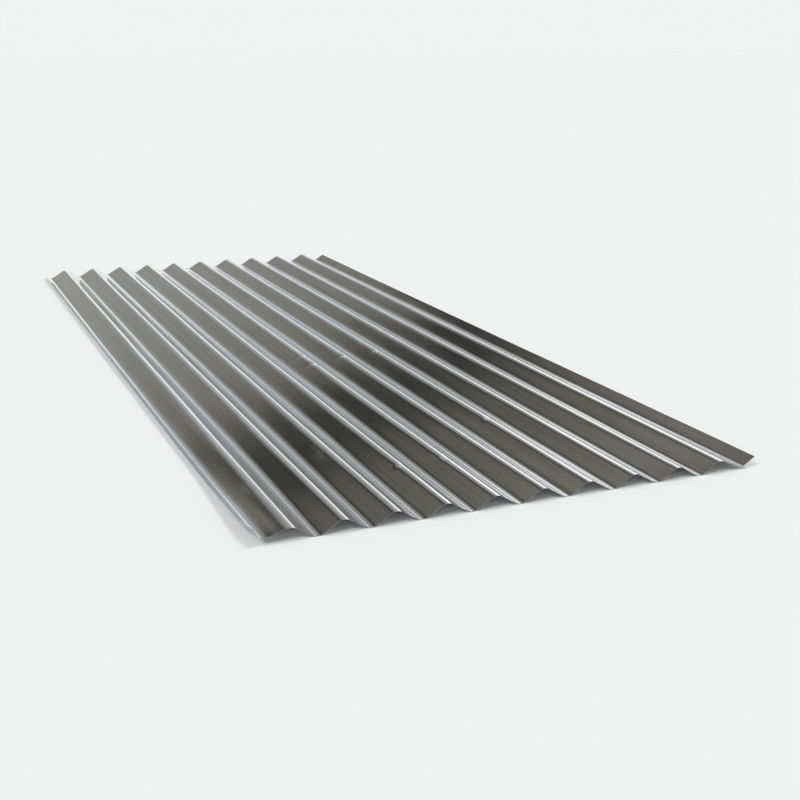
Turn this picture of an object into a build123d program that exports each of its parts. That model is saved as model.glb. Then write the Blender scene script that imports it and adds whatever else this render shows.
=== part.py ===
"""Corrugated roofing sheet: one rolled steel sheet with round waves and straight flanks.

Millimetres. X runs across the waves, Y along them, Z up. The origin is under the middle of the sheet,
level with the underside of its troughs, where it lies on a floor.
"""
import os
from math import asin, atan2, cos, hypot, tan

from build123d import *

# Driving dimensions
sheet_length = 2000  # along the waves
pitch = 76  # crest to crest
wave_depth = 18  # trough to crest, along the middle of the metal
bend_radius = 16  # of every crest and trough, along the middle of the metal
sheet_thickness = 0.5
crest_count = 10
left_lip = 15  # run of the left edge past the first trough
right_lip = 25  # run of the right edge past the last trough

# The flank is the tangent that crosses over between the arcs of a crest and the next trough
half_pitch = pitch / 2
centre_rise = 2 * bend_radius - wave_depth
centre_distance = hypot(half_pitch, centre_rise)
flank_angle = asin(2 * bend_radius / centre_distance) - atan2(centre_rise, half_pitch)

# The underside runs parallel to the middle of the metal, half a thickness below it
trough_radius = bend_radius + sheet_thickness / 2
crest_radius = bend_radius - sheet_thickness / 2

# The flanks of the underside meet at sharp corners, which the bends then round
corner_share = 1 / cos(flank_angle) - 1
trough_corner = -trough_radius * corner_share
crest_corner = trough_corner + half_pitch * tan(flank_angle)

# Places across the sheet, which is centred over the origin
sheet_width = left_lip + crest_count * pitch + right_lip
first_trough = left_lip - sheet_width / 2
last_trough = sheet_width / 2 - right_lip


def flank_height(run):
    """Height of the underside's flank, a run to the side of its trough."""
    return trough_corner + run * tan(flank_angle)


# Corners of the underside from the left edge to the right edge, and the bend at each inner one
corners = [(first_trough - left_lip, flank_height(left_lip)), (first_trough, trough_corner)]
bends = [trough_radius]
for crest in range(crest_count):
    crest_x = first_trough + crest * pitch + half_pitch
    corners += [(crest_x, crest_corner), (crest_x + half_pitch, trough_corner)]
    bends += [crest_radius, trough_radius]
corners.append((last_trough + right_lip, flank_height(right_lip)))

os.makedirs("parts", exist_ok=True)

# The sheet: the wave, drawn with its thickness and run along the sheet's length
with BuildPart() as corrugated_sheet:
    with BuildSketch(Plane.XZ):
        with BuildLine():
            FilletPolyline(*corners, radius=bends)
            offset(amount=sheet_thickness, side=Side.LEFT)
        make_face()
    extrude(amount=sheet_length / 2, both=True)

corrugated_sheet.part.label = "corrugated_sheet"
export_step(corrugated_sheet.part, "parts/corrugated_sheet.step")
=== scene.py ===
"""Looks of a corrugated roofing sheet of bright zinc coated steel.

Metres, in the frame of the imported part: X across the waves, Y along them, Z up.
The sheet lies on the floor.
"""
import math

import bpy
import numpy as np
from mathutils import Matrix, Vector


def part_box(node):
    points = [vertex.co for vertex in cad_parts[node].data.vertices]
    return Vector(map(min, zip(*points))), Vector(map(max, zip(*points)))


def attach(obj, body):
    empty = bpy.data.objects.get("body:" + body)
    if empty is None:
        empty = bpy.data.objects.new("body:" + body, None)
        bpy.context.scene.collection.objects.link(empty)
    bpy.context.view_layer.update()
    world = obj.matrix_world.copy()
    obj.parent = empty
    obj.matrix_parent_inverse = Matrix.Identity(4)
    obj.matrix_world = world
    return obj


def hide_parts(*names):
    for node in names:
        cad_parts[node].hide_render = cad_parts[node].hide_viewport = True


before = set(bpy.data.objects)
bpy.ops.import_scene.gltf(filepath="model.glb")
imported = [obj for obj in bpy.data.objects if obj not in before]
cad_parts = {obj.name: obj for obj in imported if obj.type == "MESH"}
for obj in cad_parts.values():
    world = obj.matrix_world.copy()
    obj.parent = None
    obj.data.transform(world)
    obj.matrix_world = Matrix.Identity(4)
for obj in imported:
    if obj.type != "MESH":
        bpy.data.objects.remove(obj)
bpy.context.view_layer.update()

# The sheet's section, as the part has it
NODE = "corrugated_sheet"
PITCH = 0.076
BEND_RADIUS = 0.016
THICKNESS = 0.0005
LEFT_LIP = 0.015
RIGHT_LIP = 0.025
LOW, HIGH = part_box(NODE)
DEPTH = HIGH.z - LOW.z - THICKNESS
FIRST_TROUGH = LOW.x + LEFT_LIP
LAST_TROUGH = HIGH.x - RIGHT_LIP
WAVES = round((LAST_TROUGH - FIRST_TROUGH) / PITCH)
HALF_PITCH = PITCH / 2
CENTRE_RISE = 2 * BEND_RADIUS - DEPTH
CENTRE_DISTANCE = math.hypot(HALF_PITCH, CENTRE_RISE)
FLANK_ANGLE = math.asin(2 * BEND_RADIUS / CENTRE_DISTANCE) - math.atan2(CENTRE_RISE, HALF_PITCH)
BEND_REACH = BEND_RADIUS * math.sin(FLANK_ANGLE)

# Fineness of the mesh, and the angle in degrees from which an edge shows as sharp
BEND_STEPS = 8
FLANK_STEPS = 4
ROW_STEP = 0.020
FINE_ROW_STEP = 0.004
FINE_REACH = 0.028
SHARP_ANGLE = 40.0

# Every bend strays a little along the sheet, inwards only, and every flank bellies a little
STRAY_SEED = 7
STRAY_ACROSS = 0.0005
STRAY_INWARD = 0.0005
FLANK_BELLY = 0.00016
STRAY_LENGTHS = (1.7, 0.62, 0.27)
STRAY_SHARES = (0.5, 0.33, 0.17)
STRAY_STRETCH = (0.8, 1.25)

# Dents from handling: the crest, counted from the left, the place along the sheet and the depth
DENT_ACROSS = 0.007
DENT_ALONG = 0.010
DENTS = (
    (4, -0.825, 0.0007),
    (5, -0.820, 0.0006),
    (5, -0.207, 0.0009),
    (5, -0.140, 0.0007),
    (6, -0.172, 0.0010),
    (7, -0.156, 0.0008),
    (7, -0.663, 0.0009),
)

# Edges sprung up at the near end: the rise there, and where along the sheet it begins
LEFT_RISE = 0.0085
LEFT_RISE_START = -0.55
RIGHT_RISE = 0.0040
RIGHT_RISE_START = 0.60

# Corner of the left lip, turned up and in at the near end, most of all at its edge
CORNER_RUN = 0.060
CORNER_IN = 0.0065
CORNER_UP = 0.0030
CORNER_CURL = 1.5

# Dull rubbed patches: the middle of each, and its reach across, along and up
RUBS = (
    ((-0.116, 0.304, 0.009), (0.024, 0.070, 0.024)),
    ((0.033, -0.160, 0.009), (0.050, 0.060, 0.024)),
    ((-0.201, -0.720, 0.009), (0.022, 0.055, 0.024)),
    ((-0.357, -0.834, 0.009), (0.018, 0.045, 0.024)),
)

# Patterns of noise: how many to a metre across, along and up, the layers of detail and their roughness
STREAKS = ((170.0, 0.8, 170.0), 4.0, 0.65)
ROLLING_LINES = ((120.0, 0.6, 120.0), 2.0, 0.5)
SMUDGES = ((7.0, 2.2, 7.0), 5.0, 0.6)
SMEARS = ((150.0, 22.0, 150.0), 4.0, 0.6)
EDGE_GRAIN = ((900.0, 900.0, 900.0), 2.0, 0.5)
CRYSTALS_TO_A_METRE = 120.0

# Colours of the metal
DARK_CRYSTAL = (0.740, 0.745, 0.747, 1.0)
LIGHT_CRYSTAL = (0.760, 0.765, 0.767, 1.0)
STREAK_COLOUR = (0.63, 0.632, 0.63, 1.0)
SMUDGE_COLOUR = (0.66, 0.658, 0.645, 1.0)
DARK_EDGE = (0.22, 0.22, 0.23, 1.0)
LIGHT_EDGE = (0.46, 0.46, 0.47, 1.0)

# How a pattern shows: its own range, and the range of colour shares or of roughness that it is spread to
STREAK_TINT = ((0.46, 0.66), (0.0, 1.0))
SMUDGE_TINT = ((0.5, 0.78), (0.0, 0.5))
SMEAR_SHARE = ((0.3, 0.7), (0.0, 1.0))
SMUDGE_ROUGHNESS = ((0.42, 0.75), (0.075, 0.13))
STREAK_ROUGHNESS = ((0.35, 0.7), (-0.015, 0.035))
CRYSTAL_ROUGHNESS = ((0.0, 1.0), (0.0, 0.010))
RUB_ROUGHNESS = ((0.0, 0.6), (0.0, 0.10))
EDGE_ROUGHNESS = ((0.3, 0.7), (0.34, 0.5))
ROLLING_STRENGTH = 0.2
ROLLING_HEIGHT = 0.0002

# Camera: the photograph's viewpoint, turned to centre the sheet
CAMERA_PLACE = (-0.797, -2.443, 0.6365)
CAMERA_AIM = (0.039, -0.453, 0.0)
CAMERA_LENS = 55.6
SENSOR_WIDTH = 36.0

# Floor
FLOOR_SIZE = 80.0
FLOOR_COLOUR = (0.90, 0.90, 0.90, 1.0)

# Light of the studio's walls and ceiling, by the sine of the height above the horizon
WORLD_STRENGTH = 2.0
HORIZON = (0.439, 0.443, 0.444)
PALE_BAND = (0.60, 0.62, 0.64)
STRIP_LIGHT = (0.60, 0.61, 0.62)
DIM_GREY = (0.16, 0.16, 0.16)
OVERHEAD = (
    (0.84, (0.27, 0.27, 0.27)),
    (0.885, (0.15, 0.15, 0.15)),
    (0.93, (0.22, 0.22, 0.22)),
    (0.97, (0.39, 0.39, 0.39)),
    (1.0, (0.45, 0.45, 0.45)),
)
WALLS = (
    (0.06, HORIZON),
    (0.09, PALE_BAND),
    (0.14, PALE_BAND),
    (0.19, (0.205, 0.232, 0.248)),
    (0.40, (0.195, 0.218, 0.232)),
    (0.56, (0.160, 0.167, 0.170)),
    (0.60, STRIP_LIGHT),
    (0.68, STRIP_LIGHT),
    (0.72, DIM_GREY),
    *OVERHEAD,
)

# The wall on the left is shady, which tells the two flanks of a wave apart from above
SHADY_WALL = (0.085, 0.090, 0.095, 1.0)
SHADY_REACH = (-0.50, -0.82)

# The walls at the two ends of the sheet have warm bands, which slant
PALE_GREY = (0.168, 0.168, 0.158)
WARM_GREY = (0.108, 0.105, 0.091)
WARM_SHADE = (0.068, 0.066, 0.056)
DARK_BAND = (0.020, 0.020, 0.019)
END_WALL_SLANT = 0.57
END_WALL = (
    (0.28, PALE_GREY),
    (0.42, WARM_GREY),
    (0.445, WARM_SHADE),
    (0.465, DARK_BAND),
    (0.515, DARK_BAND),
    (0.545, WARM_SHADE),
    (0.58, WARM_SHADE),
    (0.65, WARM_GREY),
    (0.69, WARM_SHADE),
    (0.73, WARM_GREY),
    (0.78, WARM_GREY),
    *OVERHEAD,
)

# A pale panel stands beside each end wall, and windows stand further round
PANEL_LIGHT = (0.52, 0.53, 0.54)
PANEL = (
    (0.06, HORIZON),
    (0.09, PANEL_LIGHT),
    (0.16, PANEL_LIGHT),
    (0.21, (0.245, 0.270, 0.285)),
    (0.33, (0.205, 0.228, 0.242)),
)
WINDOW_LIGHT = (0.63, 0.64, 0.65)
WINDOW = (
    (0.06, HORIZON),
    (0.09, WINDOW_LIGHT),
    (0.36, WINDOW_LIGHT),
    (0.46, (0.15, 0.15, 0.15)),
    (0.75, DIM_GREY),
    *OVERHEAD,
)

# Heights where the shady wall and the end walls fade in, the end walls widen and the panels fade out
WALL_FOOT = (0.13, 0.18)
UPPER_WALL_FOOT = (0.34, 0.40)
PANEL_TOP = (0.36, 0.44)

# Degrees from the sheet's length to the middle of each, alike at both ends, and where its sides fade
END_WALL_TURN = -6.0
END_WALL_HALF_WIDTHS = (13.0, 15.5)
UPPER_WALL_TURN = 2.0
UPPER_WALL_HALF_WIDTHS = (20.0, 25.0)
PANEL_TURN = 17.0
PANEL_HALF_WIDTHS = (8.0, 10.0)
WINDOW_TURN = 42.0
WINDOW_HALF_WIDTHS = (10.0, 18.0)

# Two soft lamps at the sides, which the metal doesn't mirror: where each stands, and its strength
LAMPS = (
    ("left_softbox", (-0.62, -0.30, 0.72), 1.21),
    ("right_softbox", (0.62, 0.20, 0.76), 0.91),
)
LAMP_SPREAD = 22.0  # degrees


def smooth(t):
    """Smooth step from 0 to 1."""
    t = np.clip(t, 0, 1)
    return t * t * (3 - 2 * t)


# The section

def lip_height(run):
    """Height of the middle of the metal, a run to the side of an outer trough, past its bend."""
    return BEND_RADIUS * (1 - math.cos(FLANK_ANGLE)) + (run - BEND_REACH) * math.tan(FLANK_ANGLE)


def bend_points(bend):
    """Places across one bend, from left to right: an even bend is a trough, an odd one a crest."""
    centre = FIRST_TROUGH + bend * HALF_PITCH
    angles = np.linspace(-FLANK_ANGLE, FLANK_ANGLE, BEND_STEPS + 1)
    lift = BEND_RADIUS * (1 - np.cos(angles))
    heights = DEPTH - lift if bend % 2 else lift
    return list(zip(centre + BEND_RADIUS * np.sin(angles), heights))


def between(start, end):
    """Places along a straight flank, without its ends."""
    shares = np.linspace(0, 1, FLANK_STEPS + 1)[1:-1]
    return [(start[0] + s * (end[0] - start[0]), start[1] + s * (end[1] - start[1])) for s in shares]


def section():
    """Places (x, z) along the middle of the metal, from the left edge to the right."""
    left_edge = (FIRST_TROUGH - LEFT_LIP, lip_height(LEFT_LIP))
    right_edge = (LAST_TROUGH + RIGHT_LIP, lip_height(RIGHT_LIP))
    line = [left_edge]
    for bend in range(2 * WAVES + 1):
        points = bend_points(bend)
        line += between(line[-1], points[0]) + points
    line += between(line[-1], right_edge) + [right_edge]
    return np.array(line).T


def rows():
    """Places along the sheet, closer together at the dents and the turned corner."""
    spots = [along for _, along, _ in DENTS] + [LOW.y + FINE_REACH]
    coarse = np.linspace(LOW.y, HIGH.y, round((HIGH.y - LOW.y) / ROW_STEP) + 1)
    fine = np.concatenate([np.arange(s - FINE_REACH, s + FINE_REACH, FINE_ROW_STEP) for s in spots])
    places = np.sort(np.concatenate([coarse, fine[(fine > LOW.y) & (fine < HIGH.y - ROW_STEP)]]))
    kept = [places[0]]
    for place in places[1:]:
        if place - kept[-1] > FINE_ROW_STEP / 2:
            kept.append(place)
    kept[-1] = HIGH.y
    return np.array(kept)


# Handling marks

def stray_curves(random, count, along):
    """Smooth curves along the sheet within -1 to 1, one for each of a number of bends or flanks."""
    total = np.zeros((len(along), count))
    for length, share in zip(STRAY_LENGTHS, STRAY_SHARES):
        phase = random.uniform(0, 2 * math.pi, count)
        stretch = random.uniform(*STRAY_STRETCH, count)
        total += share * np.sin(2 * math.pi * along[:, None] / (length * stretch) + phase)
    return total


def stray(x, along):
    """Shifts (dx, dz) of the bends and flanks from their true places."""
    random = np.random.default_rng(STRAY_SEED)
    bends = np.arange(2 * WAVES + 1)
    place = np.clip((x - FIRST_TROUGH) / HALF_PITCH, 0, 2 * WAVES)
    left = np.minimum(place.astype(int), 2 * WAVES - 1)
    share = smooth(place - left)
    sideways = stray_curves(random, len(bends), along)
    to_middle = np.where(bends % 2, -1, 1)
    inward = to_middle * (1 + stray_curves(random, len(bends), along)) / 2
    belly = stray_curves(random, len(bends) - 1, along)
    dx = STRAY_ACROSS * ((1 - share) * sideways[:, left] + share * sideways[:, left + 1])
    dz = STRAY_INWARD * ((1 - share) * inward[:, left] + share * inward[:, left + 1])
    dz += FLANK_BELLY * belly[:, left] * np.sin(2 * math.pi * (place - left))
    return dx, dz


def dents(x, along):
    """Fall of the crests at the dents."""
    fall = np.zeros((len(along), len(x)))
    for crest, spot, depth in DENTS:
        centre = FIRST_TROUGH + (2 * crest - 1) * HALF_PITCH
        across = np.exp(-(((x - centre) / DENT_ACROSS) ** 2))
        lengthwise = np.exp(-(((along - spot) / DENT_ALONG) ** 2))
        fall += depth * lengthwise[:, None] * across
    return fall


def sprung_edges(x, along):
    """Rise of the two long edges towards the near end."""
    left_share = 1 - smooth((x - FIRST_TROUGH) / HALF_PITCH)
    left_rise = LEFT_RISE * smooth((LEFT_RISE_START - along) / (LEFT_RISE_START - LOW.y)) ** 2
    right_share = smooth((x - LAST_TROUGH + HALF_PITCH) / HALF_PITCH)
    right_rise = RIGHT_RISE * smooth((RIGHT_RISE_START - along) / (RIGHT_RISE_START - LOW.y))
    return left_rise[:, None] * left_share + right_rise[:, None] * right_share


def turned_corner(x, along):
    """How far the corner of the left lip is turned, from 0 to 1."""
    lip_share = np.clip((FIRST_TROUGH - x) / LEFT_LIP, 0, 1) ** CORNER_CURL
    return smooth((LOW.y + CORNER_RUN - along) / CORNER_RUN)[:, None] * lip_share


# The sheet

def skin_points(x, z, along):
    """Corners of the upper face and then of the underside, row by row."""
    dx, dz = stray(x, along)
    corner = turned_corner(x, along)
    middle_x = x + dx + CORNER_IN * corner
    true_z = LOW.z + THICKNESS / 2 + z
    middle_z = true_z + dz - dents(x, along) + sprung_edges(x, along) + CORNER_UP * corner
    tilt = np.arctan2(np.gradient(middle_z, axis=1), np.gradient(middle_x, axis=1))
    out_x = -np.sin(tilt) * THICKNESS / 2
    out_z = np.cos(tilt) * THICKNESS / 2
    middle_y = np.broadcast_to(along[:, None], middle_x.shape)
    upper = np.stack([middle_x + out_x, middle_y, middle_z + out_z], axis=-1)
    under = np.stack([middle_x - out_x, middle_y, middle_z - out_z], axis=-1)
    points = np.concatenate([upper.reshape(-1, 3), under.reshape(-1, 3)])
    return np.clip(points, np.array(LOW), np.array(HIGH))


def skin_faces(n_rows, n_across):
    """Faces of both sides, and the cut faces that join them all round."""
    grid = np.arange(n_rows * n_across).reshape(n_rows, n_across)
    under = grid.size
    corners = (grid[:-1, :-1], grid[:-1, 1:], grid[1:, 1:], grid[1:, :-1])
    upper_faces = np.stack(corners, axis=-1).reshape(-1, 4)
    under_faces = upper_faces[:, ::-1] + under
    cut_faces = []
    for line in (grid[0], grid[-1, ::-1], grid[::-1, 0], grid[:, -1]):
        cut_faces.append(np.stack([line[1:], line[:-1], line[:-1] + under, line[1:] + under], axis=-1))
    return np.concatenate([upper_faces, under_faces]), np.concatenate(cut_faces)


def make_sheet():
    """One closed mesh: upper face, underside and the cut edges between them."""
    x, z = section()
    along = rows()
    side_faces, cut_faces = skin_faces(len(along), len(x))
    mesh = bpy.data.meshes.new("zinc_sheet")
    mesh.from_pydata(skin_points(x, z, along).tolist(), [], side_faces.tolist() + cut_faces.tolist())
    finish = np.repeat([0, 1], [len(side_faces), len(cut_faces)])
    mesh.polygons.foreach_set("material_index", finish.astype(np.int32))
    mesh.shade_smooth()
    mesh.set_sharp_from_angle(angle=math.radians(SHARP_ANGLE))
    mesh.materials.append(zinc_material())
    mesh.materials.append(cut_edge_material())
    sheet = bpy.data.objects.new("zinc_sheet", mesh)
    bpy.context.scene.collection.objects.link(sheet)
    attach(sheet, "root")
    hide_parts(NODE)


# Materials

class Nodes:
    """The node tree of a material or world, with short calls for the nodes that are used here."""

    def __init__(self, owner, shader, place):
        owner.use_nodes = True
        self.owner = owner
        self.tree = owner.node_tree
        self.shader = self.tree.nodes[shader]
        self.place = self.tree.nodes.new("ShaderNodeTexCoord").outputs[place]

    def feed(self, socket, value):
        """Give a socket a value of its own or another node's output."""
        if isinstance(value, bpy.types.NodeSocket):
            self.tree.links.new(value, socket)
        else:
            socket.default_value = value

    def add(self, kind, **values):
        """A node, its inputs fed by name, an underscore standing for a space."""
        node = self.tree.nodes.new(kind)
        for name, value in values.items():
            self.feed(node.inputs[name.replace("_", " ")], value)
        return node

    def noise(self, scale, detail, roughness):
        """Noise of its own scale along each axis."""
        place = self.add("ShaderNodeMapping", Vector=self.place, Scale=scale).outputs["Vector"]
        node = self.add("ShaderNodeTexNoise", Vector=place, Scale=1.0, Detail=detail, Roughness=roughness)
        return node.outputs["Fac"]

    def spread(self, value, source, target=(0.0, 1.0), kind="LINEAR"):
        """A value's range spread to another range, held at its ends."""
        node = self.add("ShaderNodeMapRange", Value=value, From_Min=source[0], From_Max=source[1])
        self.feed(node.inputs["To Min"], target[0])
        self.feed(node.inputs["To Max"], target[1])
        node.interpolation_type = kind
        return node.outputs["Result"]

    def math(self, operation, *values):
        """A number worked out from others."""
        node = self.tree.nodes.new("ShaderNodeMath")
        node.operation = operation
        for socket, value in zip(node.inputs, values):
            self.feed(socket, value)
        return node.outputs["Value"]

    def vector_math(self, operation, *values):
        """The outputs, a vector and a number, of an operation on vectors."""
        node = self.tree.nodes.new("ShaderNodeVectorMath")
        node.operation = operation
        for socket, value in zip(node.inputs, values):
            self.feed(socket, value)
        return node.outputs

    def mix(self, share, first, second):
        """A colour between two."""
        node = self.add("ShaderNodeMix", Factor=share)
        node.data_type = "RGBA"
        colours = [s for s in node.inputs if s.type == "RGBA"]
        self.feed(colours[0], first)
        self.feed(colours[1], second)
        return next(s for s in node.outputs if s.type == "RGBA")

    def ramp(self, value, stops):
        """Colours by value, from stops of a position and a colour."""
        node = self.add("ShaderNodeValToRGB", Fac=value)
        elements = node.color_ramp.elements
        while len(elements) < len(stops):
            elements.new(1.0)
        for element, (position, colour) in zip(elements, stops):
            element.position = position
            element.color = (*colour, 1.0)
        return node.outputs["Color"]

    def near(self, spot, reach):
        """1 at a spot, falling to 0 a reach away, which has its own length along each axis."""
        away = self.vector_math("SUBTRACT", self.place, spot)["Vector"]
        shares = self.vector_math("DIVIDE", away, reach)["Vector"]
        distance = self.vector_math("LENGTH", shares)["Value"]
        return self.spread(distance, (0.0, 1.0), (1.0, 0.0))

    def to_shader(self, name, value):
        """Feed an input of the shader."""
        self.feed(self.shader.inputs[name], value)


def material_nodes(name):
    """Nodes of a new material, placed by the object's own coordinates."""
    return Nodes(bpy.data.materials.new(name), "Principled BSDF", "Object")


def zinc_material():
    """Bright zinc: rolling lines and streaks along the sheet, a faint spangle, dull smudges and rubs."""
    n = material_nodes("bright_zinc")
    n.to_shader("Metallic", 1.0)
    spangle = n.add("ShaderNodeTexVoronoi", Vector=n.place, Scale=CRYSTALS_TO_A_METRE).outputs["Color"]
    crystals = n.add("ShaderNodeSeparateColor", Color=spangle).outputs
    streaks = n.noise(*STREAKS)
    rolling_lines = n.noise(*ROLLING_LINES)
    smudges = n.noise(*SMUDGES)
    smears = n.spread(n.noise(*SMEARS), *SMEAR_SHARE)
    rubs = 0.0
    for spot, reach in RUBS:
        rubs = n.math("ADD", n.near(spot, reach), rubs)
    rubs = n.math("MULTIPLY", rubs, smears)

    colour = n.mix(crystals["Red"], DARK_CRYSTAL, LIGHT_CRYSTAL)
    colour = n.mix(n.spread(streaks, *STREAK_TINT), colour, STREAK_COLOUR)
    colour = n.mix(n.spread(smudges, *SMUDGE_TINT), colour, SMUDGE_COLOUR)
    n.to_shader("Base Color", colour)

    rough = n.math("ADD", n.spread(smudges, *SMUDGE_ROUGHNESS), n.spread(streaks, *STREAK_ROUGHNESS))
    rough = n.math("ADD", rough, n.spread(crystals["Green"], *CRYSTAL_ROUGHNESS))
    rough = n.math("ADD", rough, n.spread(rubs, *RUB_ROUGHNESS))
    n.to_shader("Roughness", rough)

    bump = n.add("ShaderNodeBump", Height=rolling_lines, Strength=ROLLING_STRENGTH, Distance=ROLLING_HEIGHT)
    n.to_shader("Normal", bump.outputs["Normal"])
    return n.owner


def cut_edge_material():
    """Sheared steel: duller and darker than the coated faces, with a fine grain."""
    n = material_nodes("cut_steel_edge")
    n.to_shader("Metallic", 1.0)
    grain = n.noise(*EDGE_GRAIN)
    n.to_shader("Base Color", n.mix(grain, DARK_EDGE, LIGHT_EDGE))
    n.to_shader("Roughness", n.spread(grain, *EDGE_ROUGHNESS))
    return n.owner


# The studio

def make_floor():
    """A wide pale floor without gloss."""
    half = FLOOR_SIZE / 2
    corners = [(-half, -half, 0), (half, -half, 0), (half, half, 0), (-half, half, 0)]
    mesh = bpy.data.meshes.new("floor")
    mesh.from_pydata(corners, [], [(0, 1, 2, 3)])
    floor = bpy.data.objects.new("floor", mesh)
    bpy.context.scene.collection.objects.link(floor)
    n = material_nodes("pale_floor")
    n.to_shader("Base Color", FLOOR_COLOUR)
    n.to_shader("Roughness", 1.0)
    n.to_shader("Specular IOR Level", 0.0)
    mesh.materials.append(n.owner)


def share_towards(n, turn, half_widths):
    """1 towards a turn round the horizon and its opposite, falling to 0 between two half widths."""
    level = n.vector_math("MULTIPLY", n.place, (1.0, 1.0, 0.0))["Vector"]
    unit = n.vector_math("NORMALIZE", level)["Vector"]
    middle = (math.sin(math.radians(turn)), math.cos(math.radians(turn)), 0.0)
    towards = n.math("ABSOLUTE", n.vector_math("DOT_PRODUCT", unit, middle)["Value"])
    inner, outer = (math.cos(math.radians(width)) for width in half_widths)
    return n.spread(towards, (outer, inner), kind="SMOOTHSTEP")


def make_world():
    """Soft light all round: cool walls, a shady wall, end walls, panels, windows and overhead light."""
    world = bpy.data.worlds.new("studio")
    bpy.context.scene.world = world
    n = Nodes(world, "Background", "Generated")
    x, y, height = n.add("ShaderNodeSeparateXYZ", Vector=n.place).outputs
    across = n.math("MULTIPLY", x, n.math("SIGN", y))
    slanting_height = n.math("MULTIPLY_ADD", across, -END_WALL_SLANT, height)

    above_foot = n.spread(height, WALL_FOOT)
    to_shady_wall = n.math("MULTIPLY", above_foot, n.spread(x, SHADY_REACH, kind="SMOOTHSTEP"))
    to_lower_wall = n.math("MULTIPLY", above_foot, share_towards(n, END_WALL_TURN, END_WALL_HALF_WIDTHS))
    above_upper_foot = n.spread(height, UPPER_WALL_FOOT)
    upper_share = share_towards(n, UPPER_WALL_TURN, UPPER_WALL_HALF_WIDTHS)
    to_upper_wall = n.math("MULTIPLY", above_upper_foot, upper_share)
    to_end_wall = n.math("MAXIMUM", to_lower_wall, to_upper_wall)
    below_panel_top = n.spread(height, PANEL_TOP, (1.0, 0.0))
    to_panel = n.math("MULTIPLY", below_panel_top, share_towards(n, PANEL_TURN, PANEL_HALF_WIDTHS))

    light = n.mix(to_shady_wall, n.ramp(height, WALLS), SHADY_WALL)
    light = n.mix(to_panel, light, n.ramp(height, PANEL))
    light = n.mix(to_end_wall, light, n.ramp(slanting_height, END_WALL))
    window = n.ramp(height, WINDOW)
    for turn in (WINDOW_TURN, -WINDOW_TURN):
        light = n.mix(share_towards(n, turn, WINDOW_HALF_WIDTHS), light, window)
    n.to_shader("Color", light)
    n.to_shader("Strength", WORLD_STRENGTH)


def aim(thing, target):
    """Turn a camera or lamp to face a point."""
    look = Vector(target) - thing.location
    thing.rotation_euler = look.to_track_quat("-Z", "Y").to_euler()


def make_lamps():
    """The soft lamps, each aimed at the sheet's origin."""
    for name, place, strength in LAMPS:
        lamp = bpy.data.lights.new(name, "SUN")
        lamp.energy = strength
        lamp.angle = math.radians(LAMP_SPREAD)
        softbox = bpy.data.objects.new(name, lamp)
        bpy.context.scene.collection.objects.link(softbox)
        softbox.location = place
        softbox.visible_glossy = False
        aim(softbox, (0.0, 0.0, 0.0))


def make_camera():
    """The camera of the main view."""
    lens = bpy.data.cameras.new("camera")
    lens.lens = CAMERA_LENS
    lens.sensor_width = SENSOR_WIDTH
    camera = bpy.data.objects.new("camera", lens)
    bpy.context.scene.collection.objects.link(camera)
    camera.location = CAMERA_PLACE
    aim(camera, CAMERA_AIM)
    bpy.context.scene.camera = camera


make_sheet()
make_floor()
make_world()
make_lamps()
make_camera()
bpy.context.scene.view_settings.view_transform = "Standard"
